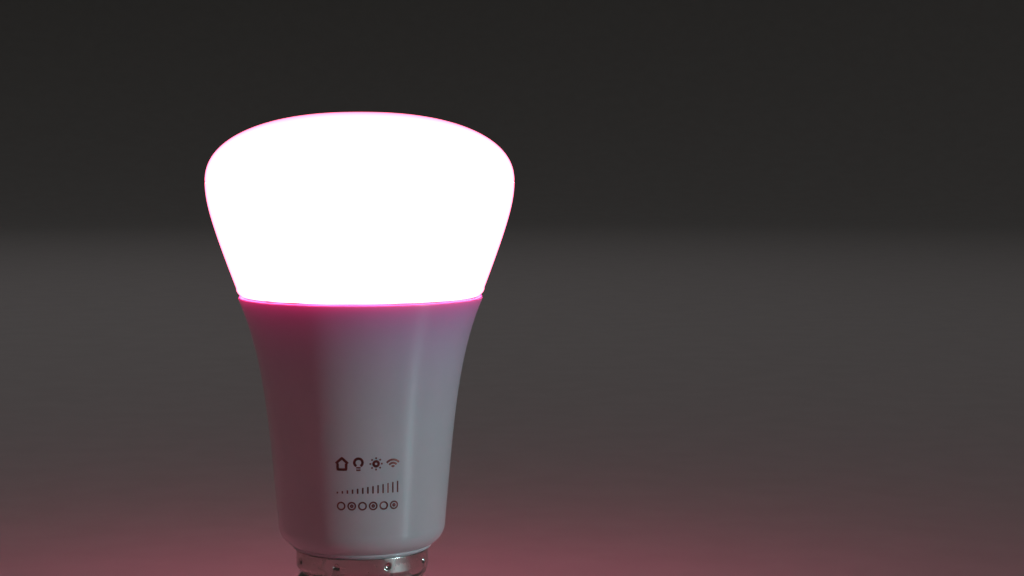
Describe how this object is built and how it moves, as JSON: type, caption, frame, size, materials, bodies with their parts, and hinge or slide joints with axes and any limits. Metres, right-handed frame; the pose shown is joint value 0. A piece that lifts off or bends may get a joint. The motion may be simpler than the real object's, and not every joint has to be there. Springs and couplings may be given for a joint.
{
  "type": "smart light bulb",
  "caption": "Colour-tunable smart light bulb with an opal mushroom dome, a white flared housing and a screw cap, complete with its light board, radio board and mains driver.",
  "frame": {"origin": "tip of the centre contact, on the bulb's axis", "axes": "+Z along the axis, from the screw cap up to the dome; -Y is the front that the printed mark faces"},
  "size_m": [0.062, 0.062, 0.11],
  "materials": {
    "opal_plastic": "smooth opal diffuser, lit from inside",
    "silicone": "cured white silicone bead",
    "white_plastic": "glossy moulded white plastic",
    "cup_aluminium": "drawn aluminium sheet",
    "liner_plastic": "natural insulating plastic",
    "plate_aluminium": "stamped aluminium plate",
    "pad_silicone": "soft grey-blue thermal pad",
    "white_mask": "white solder mask on aluminium",
    "screw_steel": "zinc-plated steel",
    "lamp_plastic": "white lamp package",
    "phosphor": "yellow phosphor gel",
    "die_red": "red lamp die",
    "die_green": "green lamp die",
    "die_blue": "blue lamp die",
    "clear_resin": "clear resin fill",
    "socket_plastic": "natural connector plastic",
    "black_plastic": "black moulded plastic",
    "gilt_pins": "gold-flashed pins",
    "green_mask": "green solder mask on glass fibre",
    "tinned_sheet": "tin-plated sheet",
    "chip_plastic": "black epoxy package",
    "ceramic_chip": "fired ceramic chip",
    "antenna_copper": "copper track under mask",
    "ferrite": "pressed ferrite",
    "enamelled_copper": "enamelled copper wire",
    "yellow_tape": "polyester winding tape",
    "tinned_wire": "tinned copper legs",
    "can_aluminium": "drawn capacitor can",
    "blue_sleeve": "shrunk dark blue sleeve",
    "green_sleeve": "shrunk dark green sleeve",
    "ochre_resin": "ochre epoxy case",
    "blue_resin": "blue dipped epoxy",
    "teal_resin": "teal dipped epoxy",
    "olive_lacquer": "flameproof lacquer",
    "red_insulation": "silicone-insulated lead",
    "black_insulation": "silicone-insulated lead",
    "nickelled_brass": "nickel-plated brass, rolled",
    "black_glass": "black insulator",
    "nickelled_contact": "bright contact metal",
    "solder": "solder"
  },
  "bodies": {
    "root": {"diffuser_crown": "opal_plastic", "diffuser_skirt": "opal_plastic", "diffuser_adhesive": "silicone", "housing": "white_plastic", "heat_sink_cup": "cup_aluminium", "driver_liner": "liner_plastic", "spreader_plate": "plate_aluminium", "thermal_pad": "pad_silicone", "led_board": "white_mask", "board_screws": "screw_steel", "white_led_frames": "lamp_plastic", "white_led_phosphors": "phosphor", "colour_led_frames": "lamp_plastic", "colour_led_red_dies": "die_red", "colour_led_green_dies": "die_green", "colour_led_blue_dies": "die_blue", "colour_led_windows": "clear_resin", "supply_socket": "socket_plastic", "supply_header": "black_plastic", "supply_pins": "gilt_pins", "radio_board": "green_mask", "radio_shield": "tinned_sheet", "radio_chip": "chip_plastic", "radio_crystal": "tinned_sheet", "radio_passives": "ceramic_chip", "radio_antenna": "antenna_copper", "radio_header": "black_plastic", "radio_pins": "gilt_pins", "driver_board": "green_mask", "transformer_core": "ferrite", "transformer_bobbin": "black_plastic", "transformer_winding": "enamelled_copper", "transformer_tape": "yellow_tape", "transformer_pins": "tinned_wire", "input_capacitor_can": "can_aluminium", "input_capacitor_sleeve": "blue_sleeve", "output_capacitor_can": "can_aluminium", "output_capacitor_sleeve": "green_sleeve", "filter_inductor_core": "ferrite", "filter_inductor_winding": "enamelled_copper", "film_capacitor": "ochre_resin", "safety_capacitor": "blue_resin", "varistor": "teal_resin", "fuse_resistor": "olive_lacquer", "bridge_rectifier": "chip_plastic", "driver_chip": "chip_plastic", "led_driver_chip": "chip_plastic", "output_diode": "chip_plastic", "power_transistor": "chip_plastic", "chip_resistors": "chip_plastic", "chip_capacitors": "ceramic_chip", "component_leads": "tinned_wire", "live_lead": "red_insulation", "neutral_lead": "black_insulation", "cap_shell": "nickelled_brass", "cap_insulator": "black_glass", "centre_contact": "nickelled_contact", "contact_solder": "solder"}
  },
  "joints": []
}
